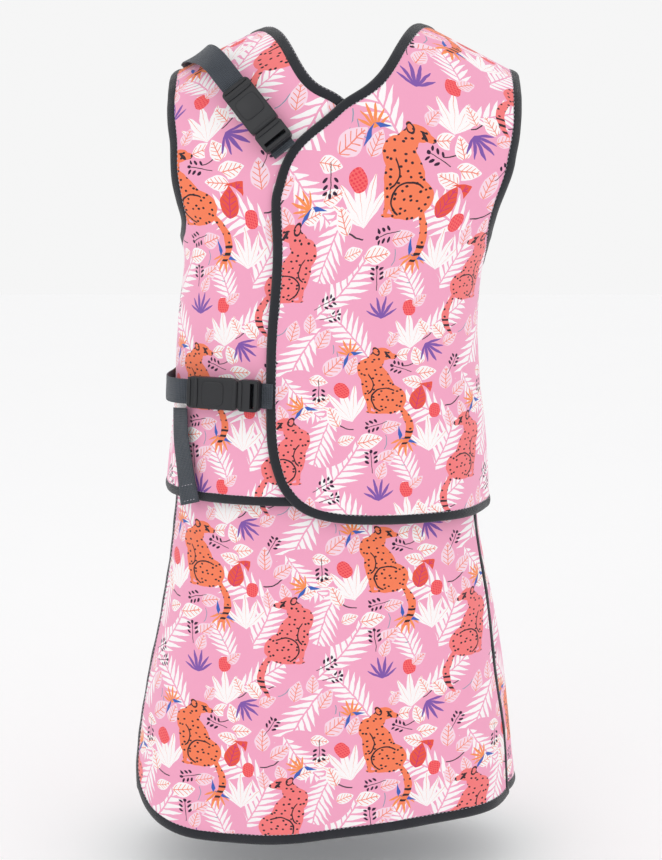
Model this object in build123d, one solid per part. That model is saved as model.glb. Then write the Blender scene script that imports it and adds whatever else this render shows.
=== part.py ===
from build123d import *
import os
from math import atan2, cos, degrees, hypot, pi, radians, sin

# A two-piece radiology apron, worn: a vest and a wrap skirt.
# Millimetres, +Z up, +X is the wearer's left, the front faces -Y.
# Heights below are above the lowest point of the skirt's rounded corner.

os.makedirs("parts", exist_ok=True)

# ---- driving dimensions ----
SHOULDER_HEIGHT = 986.0      # the wearer's shoulder rest, the part's origin
SKIRT_TOP = 592.0
VEST_BACK_HEM = 463.0
VEST_FRONT_HEM = 441.0
WRAP_HEM = 104.0             # the front flap hangs lower than the wrap
CREST = 1017.0               # top of the shoulder line beside the neck
BEND_START = 760.0           # above this the sheets lean back to the shoulder
SLOPE_START = 700.0
SHOULDER_SLOPE = 0.55
FOLD_X = 118.0               # where the vest flap folds back when it is opened
BELT_HEIGHT = 595.0
WEBBING_WIDTH = 30.0
WEBBING_THICKNESS = 1.8
BINDING_WIDTH = 12.0
ROUNDNESS = 2.5

# Three layers of every panel, as distances from the body form.
LAYERS = {"lining": (0.3, 1.1), "core": (1.3, 2.9), "shell": (3.1, 3.9)}
OUTER_LIFT = 5.1             # the overlapping panels lie this much further out

# height, middle x, half width, half depth of the body form
TORSO = [
    (380, -15, 198, 124), (465, -15, 193, 122), (554, -14, 185, 116),
    (606, -15, 182, 112), (680, -14, 177, 114), (771, -5, 179, 117),
    (870, 3, 226, 115), (930, 5, 236, 112), (1030, 5, 241, 108),
]
HIPS = [
    (40, -16, 236, 147), (136, -16, 228, 141), (241, -12, 214, 132),
    (311, -10, 202, 124), (416, -12, 183, 110), (600, -14, 166, 96),
]


# ---- the body form that every panel is laid on ----
def station(rows, height):
    """Middle, half width and half depth at a height, smooth between rows."""
    height = min(max(height, rows[0][0]), rows[-1][0])
    last = len(rows) - 1
    i = 0
    while i < last - 1 and height > rows[i + 1][0]:
        i += 1
    low, high = rows[i], rows[i + 1]
    before, after = rows[max(i - 1, 0)], rows[min(i + 2, last)]
    span = high[0] - low[0]
    f = (height - low[0]) / span
    values = []
    for k in (1, 2, 3):
        slope_low = (high[k] - before[k]) / (high[0] - before[0]) * span
        slope_high = (after[k] - low[k]) / (after[0] - low[0]) * span
        values.append(
            low[k] * (2 * f**3 - 3 * f**2 + 1) + slope_low * (f**3 - 2 * f**2 + f)
            + high[k] * (3 * f**2 - 2 * f**3) + slope_high * (f**3 - f**2)
        )
    return values


def unit_curve(angle, power=ROUNDNESS):
    """A point of the rounded unit square at an angle in radians."""
    c, s = cos(angle), sin(angle)
    size = (abs(c) ** power + abs(s) ** power) ** (-1 / power)
    return c * size, s * size


def shoulder_drop(x, height):
    """How far the shoulder slopes down at x."""
    ramp = min(max((height - SLOPE_START) / (CREST - SLOPE_START), 0), 1) ** 1.5
    return SHOULDER_SLOPE * (hypot(x - 5, 60) - hypot(105, 60)) * ramp


def skirt_point(angle, height):
    middle, half_width, half_depth = station(HIPS, height)
    across, deep = unit_curve(radians(angle), 2.35)
    return Vector(middle + half_width * across, half_depth * deep, height)


def vest_point(angle, rise):
    """rise is the height up to BEND_START, then runs on to the crest at BEND_END."""
    height, lean = rise, 1.0
    if rise > BEND_START:
        turn = min((rise - BEND_START) / (BEND_END - BEND_START), 1) * pi / 2
        lean, up = unit_curve(turn)
        height = BEND_START + (CREST - BEND_START) * up
    middle, half_width, half_depth = station(TORSO, height)
    across, deep = unit_curve(radians(angle))
    x = middle + half_width * across
    return Vector(x, half_depth * deep * lean, height - shoulder_drop(x, height))


BEND_END = BEND_START + 310.0


def lifted(point, a, b, lift):
    """The form's point moved out along its normal."""
    along = point(a + 0.2, b) - point(a - 0.2, b)
    b_high, b_low = (b + 0.5, b - 0.5) if b < BEND_END - 0.6 else (b - 0.2, b - 1.2)
    up = point(a, b_high) - point(a, b_low)
    return point(a, b) + along.cross(up).normalized() * lift


def on_vest(x, z, back=False):
    """Angle and rise of the vest form at a place seen from the front."""
    low, high = 300.0, CREST
    for _ in range(40):
        height = (low + high) / 2
        if height - shoulder_drop(x, height) < z:
            low = height
        else:
            high = height
    rise = height
    if height > BEND_START:
        up = min((height - BEND_START) / (CREST - BEND_START), 1)
        lean = (1 - up**ROUNDNESS) ** (1 / ROUNDNESS)
        rise = BEND_START + atan2(up, lean) / (pi / 2) * (BEND_END - BEND_START)
    return angle_of(TORSO, x, height, ROUNDNESS, back), rise


def on_skirt(x, z):
    return angle_of(HIPS, x, z, 2.35, False), z


def angle_of(rows, x, height, power, back):
    middle, half_width, _ = station(rows, height)
    across = min(max((x - middle) / half_width, -1), 1)
    deep = (1 - abs(across) ** power) ** (1 / power)
    angle = degrees(atan2(deep, across))
    return angle if back else -angle


# ---- curves in the plane of angle and rise ----
MM_PER_DEGREE = 3.3


def smooth_line(points, count):
    """Evenly spaced places along a smooth curve through a few points."""
    dense = []
    last = len(points) - 1
    for i in range(last):
        p0, p1 = points[max(i - 1, 0)], points[i]
        p2, p3 = points[i + 1], points[min(i + 2, last)]
        for step in range(20):
            f = step / 20
            dense.append(tuple(
                0.5 * (2 * b + (c - a) * f + (2 * a - 5 * b + 4 * c - d) * f**2
                       + (3 * b - a - 3 * c + d) * f**3)
                for a, b, c, d in zip(p0, p1, p2, p3)
            ))
    dense.append(points[-1])
    return even_line(dense, count)


def even_line(points, count):
    lengths = [0.0]
    for (a0, b0), (a1, b1) in zip(points, points[1:]):
        lengths.append(lengths[-1] + hypot((a1 - a0) * MM_PER_DEGREE, b1 - b0))
    line = []
    i = 0
    for k in range(count):
        want = lengths[-1] * k / (count - 1)
        while i < len(points) - 2 and lengths[i + 1] < want:
            i += 1
        f = (want - lengths[i]) / max(lengths[i + 1] - lengths[i], 1e-9)
        (a0, b0), (a1, b1) = points[i], points[i + 1]
        line.append((a0 + (a1 - a0) * f, b0 + (b1 - b0) * f))
    return line


def patch(bottom, top, left, right):
    """The grid of places that four border curves enclose, row by row."""
    columns, rows = len(bottom), len(left)
    grid = []
    for j in range(rows):
        v = j / (rows - 1)
        row = []
        for i in range(columns):
            u = i / (columns - 1)
            row.append(tuple(
                (1 - v) * bottom[i][k] + v * top[i][k]
                + (1 - u) * left[j][k] + u * right[j][k]
                - (1 - u) * (1 - v) * bottom[0][k] - u * (1 - v) * bottom[-1][k]
                - (1 - u) * v * top[0][k] - u * v * top[-1][k]
                for k in (0, 1)
            ))
        grid.append(row)
    return grid


def ribbon(line, width):
    """The grid of places from a border curve to `width` on its left."""
    inner = []
    for i, (a, b) in enumerate(line):
        a0, b0 = line[max(i - 1, 0)]
        a1, b1 = line[min(i + 1, len(line) - 1)]
        run, rise = (a1 - a0) * MM_PER_DEGREE, b1 - b0
        size = hypot(run, rise)
        inner.append((a - rise / size * width / MM_PER_DEGREE, b + run / size * width))
    middle = [((a + c) / 2, (b + d) / 2) for (a, b), (c, d) in zip(line, inner)]
    return [line, middle, inner]


# ---- solids ----
def skin(points):
    """One smooth face through the rows of a grid."""
    rows = [Wire([Edge.make_spline(row)]) for row in points]
    return Shell.make_loft(rows, ruled=False).faces()[0]


def closed_skin(inner, outer):
    """A solid between two grids of points with the same layout."""
    lower, upper = skin(inner), skin(outer)
    faces = [lower, upper]
    for edge in lower.edges():
        middle = edge.position_at(0.5)
        partner = min(upper.edges(), key=lambda e: (e.position_at(0.5) - middle).length)
        faces.append(Face.make_surface_from_curves(edge, partner))
    solid = Solid(Shell(faces))
    if solid.volume < 0:
        solid = Solid(Shell([-face for face in faces]))
    return solid


def laid(point, grid, low, high):
    """A sheet that lies between two distances from the form."""
    return closed_skin(
        [[lifted(point, a, b, low) for a, b in row] for row in grid],
        [[lifted(point, a, b, high) for a, b in row] for row in grid],
    )


def tape(points, outward, width, thickness):
    """A flat tape along a line of points; outward gives the side it faces."""
    grids = ([], [])
    for i, (spot, normal) in enumerate(zip(points, outward)):
        along = points[min(i + 1, len(points) - 1)] - points[max(i - 1, 0)]
        across = along.cross(normal).normalized()
        face = across.cross(along).normalized()
        for grid, side in zip(grids, (0, thickness)):
            grid.append([spot + across * (width * f) + face * side for f in (-0.5, 0, 0.5)])
    return closed_skin(*grids)


def save(name, shape):
    shape = Pos(0, 0, -SHOULDER_HEIGHT) * shape
    export_step(shape, f"parts/{name}.step")


def save_panel(name, point, grids, lift=0.0):
    for layer, (low, high) in LAYERS.items():
        pieces = [laid(point, grid, low + lift, high + lift) for grid in grids]
        save(f"{name}_{layer}", Compound(children=pieces) if len(pieces) > 1 else pieces[0])


# ---- the vest's outlines ----
SEAM_GAP = 0.25              # degrees left open at each sewn seam
SHOULDER_TOP = BEND_END - 2.0
RIGHT_SIDE, LEFT_SIDE = -180 + SEAM_GAP, -SEAM_GAP


def shoulder_angle(x):
    """The angle at which the shoulder line passes x."""
    return angle_of(TORSO, x, CREST, ROUNDNESS, False)


def mirrored(place):
    """The same place on the back."""
    return -place[0], place[1]


NECK_RIGHT = (shoulder_angle(-104), SHOULDER_TOP)
NECK_LEFT = (shoulder_angle(105), SHOULDER_TOP)
TIP_RIGHT = (shoulder_angle(-196), SHOULDER_TOP)
TIP_LEFT = (shoulder_angle(213), SHOULDER_TOP)
ROWS, COLUMNS = 25, 17

armhole_right = [(RIGHT_SIDE, 772)]
armhole_right += [on_vest(x, z) for x, z in ((-184, 794), (-189, 826), (-196, 879), (-201, 931))]
armhole_right += [TIP_RIGHT]
armhole_left = [(LEFT_SIDE, 752)]
armhole_left += [on_vest(x, z) for x, z in ((178, 790), (189, 826), (204, 868), (212, 912))]
armhole_left += [TIP_LEFT]


def side_and_armhole(side, hem, armhole):
    seam = even_line([(side, hem), armhole[0]], 12)
    return even_line(seam[:-1] + smooth_line(armhole, 30), ROWS)


shoulder_right = even_line([TIP_RIGHT, NECK_RIGHT], COLUMNS)
shoulder_left = even_line([NECK_LEFT, TIP_LEFT], COLUMNS)

# The inner front panel: from the wearer's right side to under the flap.
inner_neck = [on_vest(x, z) for x, z in ((58, 885), (0, 933), (-51, 974))] + [NECK_RIGHT]
inner_edge = [on_vest(60, z) for z in (VEST_BACK_HEM, 600, 750, 860)] + smooth_line(inner_neck, 30)
inner_hem = even_line([(RIGHT_SIDE, VEST_BACK_HEM), on_vest(60, VEST_BACK_HEM)], COLUMNS)
inner_grid = patch(
    inner_hem,
    shoulder_right,
    side_and_armhole(RIGHT_SIDE, VEST_BACK_HEM, armhole_right),
    even_line(inner_edge, ROWS),
)

# The outer flap, with a rounded lower corner, up to the fold line.
FLAP_EDGE = [
    on_vest(x, z)
    for x, z in ((-64, 478), (-74, 500), (-81, 535), (-83, 581), (-79, 690), (-75, 802),
                 (-70, 848), (-50, 889), (0, 933), (57, 981))
] + [NECK_LEFT]
FLAP_HEM = [on_vest(x, z) for x, z in ((-64, 478), (-46, 459), (-22, 448), (15, 442), (74, 441))]
flap_fold = [on_vest(FOLD_X, z) for z in (VEST_FRONT_HEM, 600, 750, 900, 960)]
flap_fold += [(shoulder_angle(FOLD_X), SHOULDER_TOP)]
flap_grid = patch(
    smooth_line(FLAP_HEM + [flap_fold[0]], COLUMNS),
    even_line([NECK_LEFT, flap_fold[-1]], COLUMNS),
    smooth_line(FLAP_EDGE, ROWS),
    smooth_line(flap_fold, ROWS),
)

# The same panel beyond the fold line: side, armhole and shoulder.
side_fold = [(a + SEAM_GAP, b) for a, b in flap_fold]
side_grid = patch(
    even_line([side_fold[0], (LEFT_SIDE, VEST_FRONT_HEM)], COLUMNS),
    even_line([side_fold[-1], TIP_LEFT], COLUMNS),
    smooth_line(side_fold, ROWS),
    side_and_armhole(LEFT_SIDE, VEST_FRONT_HEM, armhole_left),
)

# The back panel, in two halves sewn down the middle, with a low neckline.
BACK_MIDDLE = 90.0
back_neck_left = [on_vest(5, 918, True), on_vest(52, 940, True), on_vest(90, 981, True)]
back_neck_left += [mirrored(NECK_LEFT)]
back_neck_right = [on_vest(5, 918, True), on_vest(-44, 941, True), on_vest(-87, 985, True)]
back_neck_right += [mirrored(NECK_RIGHT)]


def back_half(side, neck, middle, tip, armhole, side_angle):
    """One half of the back, from its side seam to the middle."""
    inner = even_line([(middle, VEST_BACK_HEM), (middle, neck[0][1])], 12)
    inner = even_line(inner[:-1] + smooth_line([(middle, neck[0][1])] + neck[1:], 30), ROWS)
    outer = [mirrored(place) for place in side_and_armhole(side, VEST_BACK_HEM, armhole)]
    return patch(
        even_line([(side_angle, VEST_BACK_HEM), (middle, VEST_BACK_HEM)], COLUMNS),
        even_line([mirrored(tip), neck[-1]], COLUMNS),
        outer,
        inner,
    )


back_left_grid = back_half(LEFT_SIDE, back_neck_left, BACK_MIDDLE - 0.1, TIP_LEFT,
                           armhole_left, SEAM_GAP)
back_right_grid = back_half(RIGHT_SIDE, back_neck_right, BACK_MIDDLE + 0.1, TIP_RIGHT,
                            armhole_right, 180 - SEAM_GAP)
back_neck = back_neck_left[::-1] + back_neck_right[1:]


# ---- the skirt's outlines ----
WRAP_START, WRAP_END = -24.0, 288.0      # the wrap goes round the back
wrap_angles = [WRAP_START + (WRAP_END - WRAP_START) * i / 30 for i in range(31)]
wrap_grid = patch(
    [(a, WRAP_HEM) for a in wrap_angles],
    [(a, SKIRT_TOP) for a in wrap_angles],
    even_line([(WRAP_START, WRAP_HEM), (WRAP_START, SKIRT_TOP)], 15),
    even_line([(WRAP_END, WRAP_HEM), (WRAP_END, SKIRT_TOP)], 15),
)

FREE_EDGE_ANGLE = -172.0
SKIRT_CORNER = on_skirt(-226, 97)
SKIRT_EDGE = [SKIRT_CORNER, (-161, 119), (-167, 150), (FREE_EDGE_ANGLE, 215)]
SKIRT_EDGE += [(FREE_EDGE_ANGLE, 340), (FREE_EDGE_ANGLE, 460), (FREE_EDGE_ANGLE, SKIRT_TOP)]
SKIRT_FRONT_HEM = [SKIRT_CORNER]
SKIRT_FRONT_HEM += [on_skirt(x, z) for x, z in ((-200, 83), (-163, 76), (-100, 77), (0, 86), (100, 96))]
SKIRT_SEAM = [on_skirt(x, z) for x, z in ((205, 104), (199, 177), (187, 258), (175, 352), (158, 470))]
SKIRT_SEAM += [on_skirt(143, SKIRT_TOP)]
skirt_flap_grid = patch(
    smooth_line(SKIRT_FRONT_HEM + [SKIRT_SEAM[0]], 19),
    even_line([SKIRT_EDGE[-1], SKIRT_SEAM[-1]], 19),
    smooth_line(SKIRT_EDGE, 15),
    smooth_line(SKIRT_SEAM, 15),
)

# ---- panels ----
save_panel("vest_back", vest_point, [back_left_grid, back_right_grid])
save_panel("vest_front_inner", vest_point, [inner_grid])
save_panel("vest_flap", vest_point, [flap_grid], OUTER_LIFT)
save_panel("vest_side", vest_point, [side_grid], OUTER_LIFT)
save_panel("skirt_wrap", skirt_point, [wrap_grid])
save_panel("skirt_flap", skirt_point, [skirt_flap_grid], OUTER_LIFT)


# ---- edge bindings, each a tape on the outer face of its panel's border ----
def save_binding(name, point, line, count, lift, width=BINDING_WIDTH, flip=False, proud=(0.5, 1.2)):
    border = smooth_line(line[::-1] if flip else line, count)
    outer_face = LAYERS["shell"][1] + lift
    save(name, laid(point, ribbon(border, width), outer_face + proud[0], outer_face + proud[1]))


save_binding("vest_flap_binding", vest_point, FLAP_EDGE[::-1] + FLAP_HEM[1:] + [flap_fold[0]],
             41, OUTER_LIFT)
save_binding("vest_side_hem_binding", vest_point, [side_fold[0], (LEFT_SIDE, VEST_FRONT_HEM)],
             15, OUTER_LIFT)
save_binding("inner_neck_binding", vest_point, inner_neck, 17, 0, flip=True)
# It lies under the flap, so it is thinner than the others.
save_binding("inner_hem_binding", vest_point, [inner_hem[0], inner_hem[-1]], 25, 0, proud=(0.3, 0.8))
save_binding("back_neck_binding", vest_point, back_neck, 21, 0, flip=True)
save_binding("back_hem_binding", vest_point, [(SEAM_GAP, VEST_BACK_HEM), (180 - SEAM_GAP, VEST_BACK_HEM)],
             21, 0)
save_binding("right_armhole_front_binding", vest_point, armhole_right, 17, 0, flip=True)
save_binding("left_armhole_front_binding", vest_point, armhole_left, 17, OUTER_LIFT)
save_binding("left_armhole_back_binding", vest_point, [mirrored(p) for p in armhole_left], 17, 0,
             flip=True)
save_binding("right_armhole_back_binding", vest_point, [mirrored(p) for p in armhole_right], 17, 0)
save_binding("skirt_flap_binding", skirt_point, SKIRT_EDGE[::-1] + SKIRT_FRONT_HEM[1:] + [SKIRT_SEAM[0]],
             35, OUTER_LIFT)
save_binding("skirt_seam_binding", skirt_point, [on_skirt(203, 120)] + SKIRT_SEAM[1:], 13,
             OUTER_LIFT, width=7)
save_binding("skirt_hem_binding", skirt_point, [(a, WRAP_HEM) for a in wrap_angles], 31, 0)


def strip(angles, low, high):
    """A band of places between two heights."""
    return [[(a, h) for a in angles] for h in spread(low, high, 13)]


def spread(start, end, count):
    return [start + (end - start) * i / (count - 1) for i in range(count)]


# ---- skirt waistband, outside the wrap and short of the front flap ----
save("skirt_waistband", laid(skirt_point, strip(spread(2, 178, 21), SKIRT_TOP - 44, SKIRT_TOP), 4.5, 5.9))

# ---- hook and loop patches between the overlapping panels ----
HOOK, LOOP = (4.35, 4.6), (4.95, 5.15)
vest_closure = spread(on_vest(-62, 600)[0], on_vest(-22, 600)[0], 7)
skirt_closure = spread(on_skirt(-120, 560)[0], on_skirt(-20, 560)[0], 9)
save("vest_hook_patch", laid(vest_point, strip(vest_closure, 500, 740), *HOOK))
save("vest_loop_patch", laid(vest_point, strip(vest_closure, 500, 740), *LOOP))
save("skirt_hook_patch", laid(skirt_point, strip(skirt_closure, 540, 585), *HOOK))
save("skirt_loop_patch", laid(skirt_point, strip(skirt_closure, 540, 585), *LOOP))


# ---- shoulder pads, inside the vest under each shoulder ----
def over_shoulder(x, reach, lift):
    """A place at x, reach in front of (-) or behind (+) the shoulder line."""
    angle = angle_of(TORSO, x, CREST, ROUNDNESS, reach > 0)
    return lifted(vest_point, angle, BEND_END - max(abs(reach), 1.0), lift)


def shoulder_pad(start, end):
    grids = []
    for lift in (-7.0, -1.2):
        grids.append([[over_shoulder(x, reach, lift) for reach in spread(-62, 62, 12)]
                      for x in spread(start, end, 7)])
    return closed_skin(*grids)


save("right_shoulder_pad", shoulder_pad(-190, -114))
save("left_shoulder_pad", shoulder_pad(116, 200))


# ---- side-release buckles ----
SOCKET_LENGTH, SOCKET_WIDTH, SOCKET_HEIGHT = 64.0, 38.0, 12.0
PLUG_LENGTH = 26.0
CAVITY = 34.0
TUNNEL = 24.0


def buckle_socket():
    """The socket; its mouth is at x = 0 and its webbing slot at the far end."""
    body = Pos(-SOCKET_LENGTH / 2, 0, 0) * Box(SOCKET_LENGTH, SOCKET_WIDTH, SOCKET_HEIGHT)
    body = fillet(body.edges().filter_by(Axis.Z), 6)
    body = fillet(body.faces().sort_by(Axis.Z)[-1].edges(), 1.8)
    body -= Pos(-CAVITY / 2, 0, 0) * Box(CAVITY + 0.01, SOCKET_WIDTH - 8, SOCKET_HEIGHT - 5)
    body -= Pos(-17, 0, 0) * Box(18, SOCKET_WIDTH + 1, SOCKET_HEIGHT - 5)
    slot = Box(TUNNEL + 1, WEBBING_WIDTH + 1.4, 5.4)
    return body - Pos(-SOCKET_LENGTH + TUNNEL / 2 - 0.5, 0, 0) * slot


def buckle_plug():
    """The plug's base, just outside the socket's mouth, with its webbing slot."""
    base = Pos(PLUG_LENGTH / 2 + 0.5, 0, 0) * Box(PLUG_LENGTH, SOCKET_WIDTH, SOCKET_HEIGHT - 1)
    base = fillet(base.edges().filter_by(Axis.Z), 5)
    return base - Pos(PLUG_LENGTH - 8, 0, 0) * Box(5, WEBBING_WIDTH, SOCKET_HEIGHT + 1)


def latch_arm(side):
    """One springy arm with its finger pad, on one side of the plug."""
    arm = Pos(-12, side * 8.5, 0) * Box(23, 3, 4.5)
    pad = Pos(-20, side * 13.5, 0) * Box(9, 9, 4.5)
    return arm + pad


def save_buckle(name, plane):
    pieces = {
        "socket": buckle_socket(), "plug": buckle_plug(),
        "latch_upper": latch_arm(1), "latch_lower": latch_arm(-1),
    }
    for piece, shape in pieces.items():
        save(f"{name}_{piece}", plane.location * shape)


def buckle_plane(place, along, lift):
    """A plane on the vest; x points along `along`, z away from the body."""
    spot = lifted(vest_point, *place, lift)
    normal = (lifted(vest_point, *place, 10) - lifted(vest_point, *place, 0)).normalized()
    x_dir = (along - normal * along.dot(normal)).normalized()
    return Plane(origin=spot, x_dir=x_dir, z_dir=normal)


waist_plane = buckle_plane(on_vest(-113, BELT_HEIGHT), Vector(1, -0.45, -0.02), 18.0)
shoulder_plane = buckle_plane(on_vest(-80, 906), Vector(34, -21, -42), 19.0)
save_buckle("waist_buckle", waist_plane)
save_buckle("shoulder_buckle", shoulder_plane)


# ---- webbing ----
def normal_at(place):
    return (lifted(vest_point, *place, 10) - lifted(vest_point, *place, 0)).normalized()


def save_tape(name, spots):
    points = [spot for spot, _ in spots]
    outward = [normal for _, normal in spots]
    save(name, tape(points, outward, WEBBING_WIDTH, WEBBING_THICKNESS))


def plane_spot(plane, x, z):
    return plane.from_local_coords(Vector(x, 0, z)), plane.z_dir


# The belt round the back, and its short end from the side to the socket.
BELT_LIFT = 5.4
BELT_SIDE = 176.0
belt = [(lifted(vest_point, a, BELT_HEIGHT, BELT_LIFT), normal_at((a, BELT_HEIGHT)))
        for a in spread(6, BELT_SIDE, 17)]
save_tape("belt_webbing", belt)
belt_end = [(lifted(vest_point, a, BELT_HEIGHT, lift), normal_at((a, BELT_HEIGHT)))
            for a, lift in ((BELT_SIDE + 1.5, 6.0), (182, 7.0), (189, 10.0))]
belt_end += [plane_spot(waist_plane, x, -0.9) for x in (-SOCKET_LENGTH - 6, 2 - SOCKET_LENGTH)]
save_tape("belt_end_webbing", belt_end)

# The tail hangs in front of the vest from a fold below the belt.
tail = [(lifted(vest_point, *on_vest(x, z), lift), normal_at(on_vest(x, z)))
        for x, z, lift in ((-181, 572, 12), (-181, 540, 11), (-178, 500, 10), (-172, 458, 10))]
save_tape("belt_tail", tail)

# The shoulder strap runs straight from its socket, then over the shoulder.
strap = [plane_spot(shoulder_plane, x - SOCKET_LENGTH, -0.9) for x in (2, -16, -34)]
strap += [(over_shoulder(x, reach, lift), normal)
          for x, reach, lift, normal in (
              (-168, -34, 10.5, Vector(-0.2, -0.6, 0.8)), (-172, 0, 7.5, Vector(-0.35, 0, 0.94)),
              (-172, 40, 7.5, Vector(-0.25, 0.7, 0.7)), (-168, 80, 7.4, Vector(-0.2, 1, 0.3)),
              (-164, 125, 7.2, Vector(-0.15, 1, 0.1)))]
save_tape("shoulder_strap", strap)


# The plugs' short tabs, sewn to the flap.
def plug_tab(plane, reach):
    return [plane_spot(plane, x, -SOCKET_HEIGHT / 2 - 2.2) for x in spread(8, reach, 4)]


save_tape("waist_tab", plug_tab(waist_plane, 40))
save_tape("shoulder_tab", plug_tab(shoulder_plane, 34))
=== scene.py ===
import bpy
import math
import numpy as np
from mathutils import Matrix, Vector


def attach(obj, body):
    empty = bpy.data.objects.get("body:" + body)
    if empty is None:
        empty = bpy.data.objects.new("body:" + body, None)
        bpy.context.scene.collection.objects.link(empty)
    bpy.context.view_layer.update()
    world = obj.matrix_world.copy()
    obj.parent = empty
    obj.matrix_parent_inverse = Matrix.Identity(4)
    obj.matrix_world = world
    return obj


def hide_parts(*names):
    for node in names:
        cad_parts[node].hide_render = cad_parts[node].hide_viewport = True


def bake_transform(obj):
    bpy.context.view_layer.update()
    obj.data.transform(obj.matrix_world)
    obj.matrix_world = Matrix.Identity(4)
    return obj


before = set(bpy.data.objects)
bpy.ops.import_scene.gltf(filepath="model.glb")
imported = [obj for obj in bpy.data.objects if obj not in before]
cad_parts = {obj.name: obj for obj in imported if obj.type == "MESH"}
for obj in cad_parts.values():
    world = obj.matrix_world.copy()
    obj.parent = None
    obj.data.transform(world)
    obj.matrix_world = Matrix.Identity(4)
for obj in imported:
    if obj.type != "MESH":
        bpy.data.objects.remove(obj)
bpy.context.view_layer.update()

# The garment is laid on the same body form as the CAD part. The form's own
# sizes are in millimetres above the hem; metres() puts a point in the frame.
SHOULDER_HEIGHT = 986.0
SKIRT_TOP = 592.0
VEST_BACK_HEM = 463.0
VEST_FRONT_HEM = 441.0
WRAP_HEM = 104.0
CREST = 1017.0
BEND_START = 760.0
BEND_END = BEND_START + 310.0
SLOPE_START = 700.0
SHOULDER_SLOPE = 0.55
BELT_HEIGHT = 595.0
VEST_POWER = 2.5
SKIRT_POWER = 2.35
OUTER_LIFT = 5.1
LAYERS = {"lining": (0.3, 1.1), "core": (1.3, 2.9), "shell": (3.1, 3.9)}
TILE = 0.219                 # the print's repeat, in metres

TORSO = np.array([
    (380, -15, 198, 124), (465, -15, 193, 122), (554, -14, 185, 116),
    (606, -15, 182, 112), (680, -14, 177, 114), (771, -5, 179, 117),
    (870, 3, 226, 115), (930, 5, 236, 112), (1030, 5, 241, 108),
], float)
HIPS = np.array([
    (40, -16, 236, 147), (136, -16, 228, 141), (241, -12, 214, 132),
    (311, -10, 202, 124), (416, -12, 183, 110), (600, -14, 166, 96),
], float)


# ---- the body form ----
def blend_ends(start, end, slope, end_slope, f):
    """A cubic from start to end with given slopes, where f runs from 0 to 1."""
    return (start * (2 * f**3 - 3 * f**2 + 1) + slope * (f**3 - 2 * f**2 + f)
            + end * (3 * f**2 - 2 * f**3) + end_slope * (f**3 - f**2))


def station(rows, height):
    h = np.clip(height, rows[0, 0], rows[-1, 0])
    last = len(rows) - 1
    i = np.clip(np.searchsorted(rows[:, 0], h, side="left") - 1, 0, last - 1)
    low, high = rows[i], rows[i + 1]
    before, after = rows[np.maximum(i - 1, 0)], rows[np.minimum(i + 2, last)]
    span = (high[..., 0] - low[..., 0])[..., None]
    f = (h[..., None] - low[..., :1]) / span
    m0 = (high - before)[..., 1:] / (high - before)[..., :1] * span
    m1 = (after - low)[..., 1:] / (after - low)[..., :1] * span
    out = blend_ends(low[..., 1:], high[..., 1:], m0, m1, f)
    return out[..., 0], out[..., 1], out[..., 2]


def unit_curve(angle, power):
    c, s = np.cos(angle), np.sin(angle)
    size = (np.abs(c) ** power + np.abs(s) ** power) ** (-1 / power)
    return c * size, s * size


def shoulder_drop(x, height):
    ramp = np.clip((height - SLOPE_START) / (CREST - SLOPE_START), 0, 1) ** 1.5
    return SHOULDER_SLOPE * (np.hypot(x - 5, 60) - math.hypot(105, 60)) * ramp


def skirt_point(angle, height):
    middle, half_width, half_depth = station(HIPS, height)
    across, deep = unit_curve(np.radians(angle), SKIRT_POWER)
    return np.stack([middle + half_width * across, half_depth * deep, height + 0 * across], -1)


def vest_point(angle, rise):
    turn = np.clip((rise - BEND_START) / (BEND_END - BEND_START), 0, 1) * math.pi / 2
    lean, up = unit_curve(turn, VEST_POWER)
    above = rise > BEND_START
    height = np.where(above, BEND_START + (CREST - BEND_START) * up, rise)
    lean = np.where(above, lean, 1.0)
    middle, half_width, half_depth = station(TORSO, height)
    across, deep = unit_curve(np.radians(angle), VEST_POWER)
    x = middle + half_width * across
    return np.stack([x, half_depth * deep * lean, height - shoulder_drop(x, height)], -1)


def normals(point, a, b):
    along = point(a + 0.2, b) - point(a - 0.2, b)
    top = np.minimum(b + 0.5, BEND_END - 0.4)
    up = point(a, top) - point(a, top - 1.0)
    n = np.cross(along, up)
    return n / np.linalg.norm(n, axis=-1, keepdims=True)


def lifted(point, a, b, lift):
    a, b = np.asarray(a, float), np.asarray(b, float)
    lift = np.asarray(lift, float)
    return point(a, b) + normals(point, a, b) * lift[..., None]


def metres(points):
    out = np.array(points, float) / 1000
    out[..., 2] -= SHOULDER_HEIGHT / 1000
    return out


def angle_of(rows, x, height, power, back=False):
    middle, half_width, _ = station(rows, np.asarray(height, float))
    across = np.clip((x - middle) / half_width, -1, 1)
    deep = (1 - np.abs(across) ** power) ** (1 / power)
    angle = np.degrees(np.arctan2(deep, across))
    return float(angle if back else -angle)


def on_vest(x, z, back=False):
    low, high = 300.0, CREST
    for _ in range(40):
        height = (low + high) / 2
        if height - shoulder_drop(x, height) < z:
            low = height
        else:
            high = height
    rise = height
    if height > BEND_START:
        up = min((height - BEND_START) / (CREST - BEND_START), 1)
        lean = (1 - up**VEST_POWER) ** (1 / VEST_POWER)
        rise = BEND_START + math.atan2(up, lean) / (math.pi / 2) * (BEND_END - BEND_START)
    return angle_of(TORSO, x, height, VEST_POWER, back), rise


def on_skirt(x, z):
    return angle_of(HIPS, x, z, SKIRT_POWER), z


# ---- curves and patches in the plane of angle and rise ----
MM_PER_DEGREE = 3.3


def even_line(points, count):
    p = np.array(points, float)
    step = np.hypot(np.diff(p[:, 0]) * MM_PER_DEGREE, np.diff(p[:, 1]))
    length = np.concatenate([[0], np.cumsum(step)])
    want = np.linspace(0, length[-1], count)
    return np.stack([np.interp(want, length, p[:, k]) for k in (0, 1)], -1)


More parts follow.
